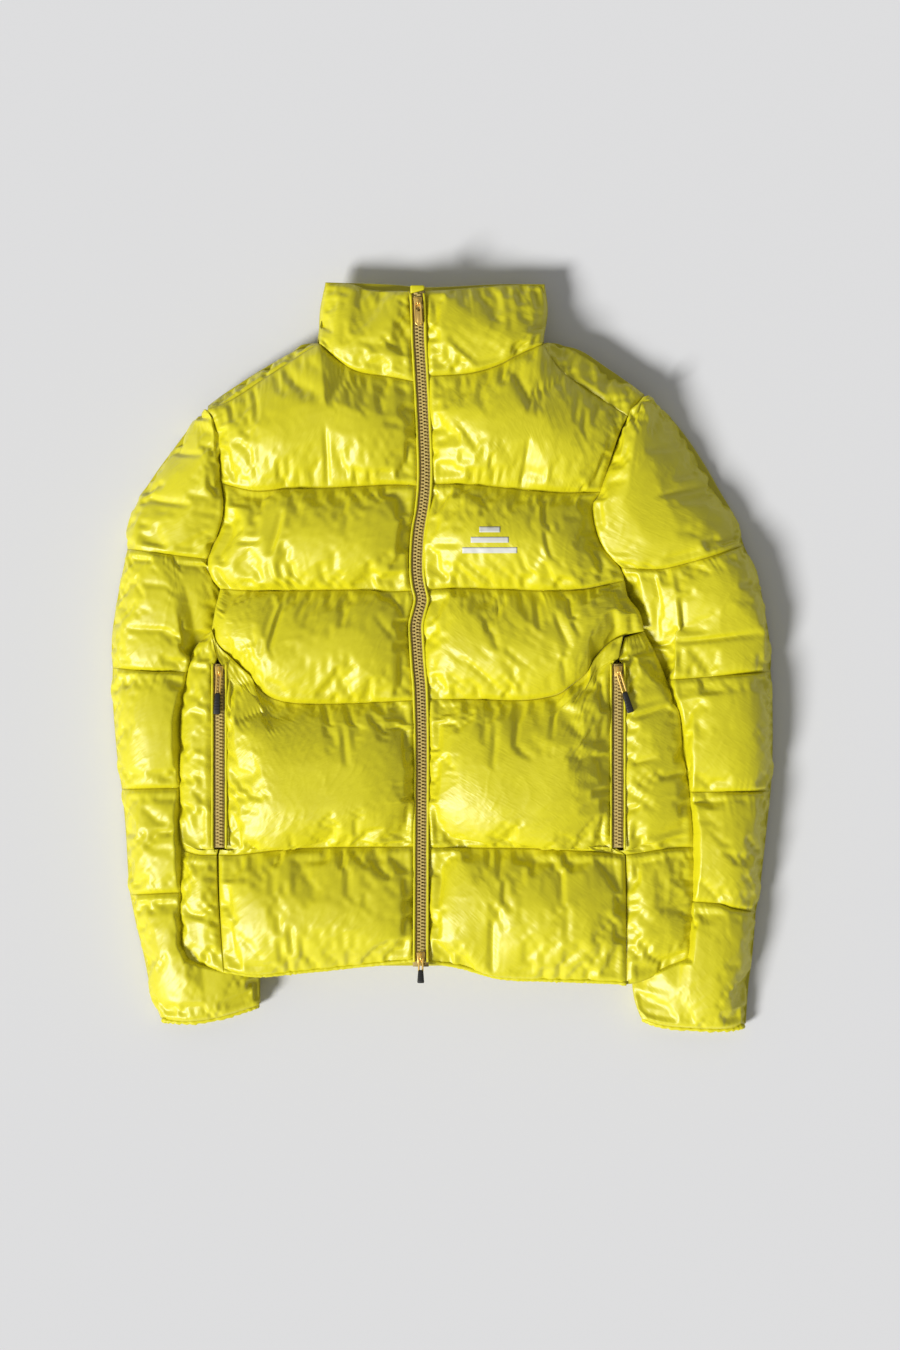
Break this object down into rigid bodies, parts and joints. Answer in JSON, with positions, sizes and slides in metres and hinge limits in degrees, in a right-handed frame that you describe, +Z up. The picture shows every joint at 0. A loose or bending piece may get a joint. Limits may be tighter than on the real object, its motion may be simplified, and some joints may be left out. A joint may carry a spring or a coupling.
{
  "type": "down jacket",
  "caption": "Quilted stand-collar down jacket lying flat on its back, lime nylon shell, two-way front zip, zipped hand pockets, sleeves folded down beside the body",
  "frame": {"origin": "middle of the jacket's box, on the ground that it lies on", "axes": "+X to the wearer's left, +Y to the collar, +Z up off the ground"},
  "size_m": [0.7138, 0.8014, 0.084],
  "materials": {
    "shell_fabric": "glossy down-proof nylon, quilted",
    "zip_tape": "woven tape",
    "zip_teeth": "moulded teeth, satin",
    "slider_metal": "polished",
    "pull_rubber": "moulded, matte",
    "pocket_lining": "plain woven lining",
    "cuff_binding": "elastic binding"
  },
  "bodies": {
    "jacket_body": {"back_chest": "shell_fabric", "back_hem": "shell_fabric", "back_midriff": "shell_fabric", "back_waist": "shell_fabric", "back_yoke": "shell_fabric", "collar_back": "shell_fabric", "collar_left": "shell_fabric", "collar_right": "shell_fabric", "front_left_chest": "shell_fabric", "front_left_hem": "shell_fabric", "front_left_midriff": "shell_fabric", "front_left_waist": "shell_fabric", "front_left_yoke": "shell_fabric", "front_right_chest": "shell_fabric", "front_right_hem": "shell_fabric", "front_right_midriff": "shell_fabric", "front_right_waist": "shell_fabric", "front_right_yoke": "shell_fabric", "pocket_left_bag": "pocket_lining", "pocket_left_tape": "zip_tape", "pocket_left_teeth_inner": "zip_teeth", "pocket_left_teeth_outer": "zip_teeth", "pocket_right_bag": "pocket_lining", "pocket_right_tape": "zip_tape", "pocket_right_teeth_inner": "zip_teeth", "pocket_right_teeth_outer": "zip_teeth", "side_left_hem": "shell_fabric", "side_left_upper": "shell_fabric", "side_right_hem": "shell_fabric", "side_right_upper": "shell_fabric", "zip_garage": "shell_fabric", "zip_tape_left": "zip_tape", "zip_tape_right": "zip_tape", "zip_teeth_left": "zip_teeth", "zip_teeth_right": "zip_teeth"},
    "left_sleeve": {"cuff_left_binding": "cuff_binding", "sleeve_left_elbow": "shell_fabric", "sleeve_left_lower": "shell_fabric", "sleeve_left_shoulder": "shell_fabric", "sleeve_left_under": "shell_fabric", "sleeve_left_upper": "shell_fabric", "sleeve_left_wrist": "shell_fabric"},
    "right_sleeve": {"cuff_right_binding": "cuff_binding", "sleeve_right_elbow": "shell_fabric", "sleeve_right_lower": "shell_fabric", "sleeve_right_shoulder": "shell_fabric", "sleeve_right_under": "shell_fabric", "sleeve_right_upper": "shell_fabric", "sleeve_right_wrist": "shell_fabric"},
    "pocket_left_puller": {"pocket_left_grip": "pull_rubber", "pocket_left_pull": "slider_metal"},
    "pocket_left_slider_body": {"pocket_left_slider": "slider_metal"},
    "pocket_right_puller": {"pocket_right_grip": "pull_rubber", "pocket_right_pull": "slider_metal"},
    "pocket_right_slider_body": {"pocket_right_slider": "slider_metal"},
    "zip_hem_puller": {"zip_hem_grip": "pull_rubber", "zip_hem_pull": "slider_metal"},
    "zip_hem_slider_body": {"zip_hem_slider": "slider_metal"},
    "zip_top_puller": {"zip_top_pull": "slider_metal"},
    "zip_top_slider_body": {"zip_top_slider": "slider_metal"}
  },
  "joints": [
    {"name": "right_sleeve_swing", "type": "hinge", "parent": "jacket_body", "child": "right_sleeve", "pos_m": [-0.2485, 0.2635, 0.03], "axis": [0, 0, -1], "range_deg": [0, 60]},
    {"name": "left_sleeve_swing", "type": "hinge", "parent": "jacket_body", "child": "left_sleeve", "pos_m": [0.2175, 0.2775, 0.03], "axis": [0, 0, 1], "range_deg": [0, 60]},
    {"name": "top_slider_travel", "type": "slide", "parent": "jacket_body", "child": "zip_top_slider_body", "axis": [0, -1, 0], "range_m": [0, 0.397]},
    {"name": "hem_slider_travel", "type": "slide", "parent": "jacket_body", "child": "zip_hem_slider_body", "axis": [0, 1, 0], "range_m": [0, 0.23]},
    {"name": "top_pull_swing", "type": "hinge", "parent": "zip_top_slider_body", "child": "zip_top_puller", "pos_m": [-0.0235, 0.376, 0.0617], "axis": [-1, 0, 0], "range_deg": [0, 150]},
    {"name": "hem_pull_swing", "type": "hinge", "parent": "zip_hem_slider_body", "child": "zip_hem_puller", "pos_m": [-0.0235, -0.322, 0.0617], "axis": [-1, 0, 0], "range_deg": [0, 150]},
    {"name": "right_pocket_slider_travel", "type": "slide", "parent": "jacket_body", "child": "pocket_right_slider_body", "axis": [0, -1, 0], "range_m": [0, 0.17]},
    {"name": "right_pocket_pull_swing", "type": "hinge", "parent": "pocket_right_slider_body", "child": "pocket_right_puller", "pos_m": [-0.237, -0.017, 0.0617], "axis": [-1, 0, 0], "range_deg": [0, 150]},
    {"name": "left_pocket_slider_travel", "type": "slide", "parent": "jacket_body", "child": "pocket_left_slider_body", "axis": [0, -1, 0], "range_m": [0, 0.17]},
    {"name": "left_pocket_pull_swing", "type": "hinge", "parent": "pocket_left_slider_body", "child": "pocket_left_puller", "pos_m": [0.188, -0.017, 0.0617], "axis": [-1, 0, 0], "range_deg": [0, 150]}
  ]
}
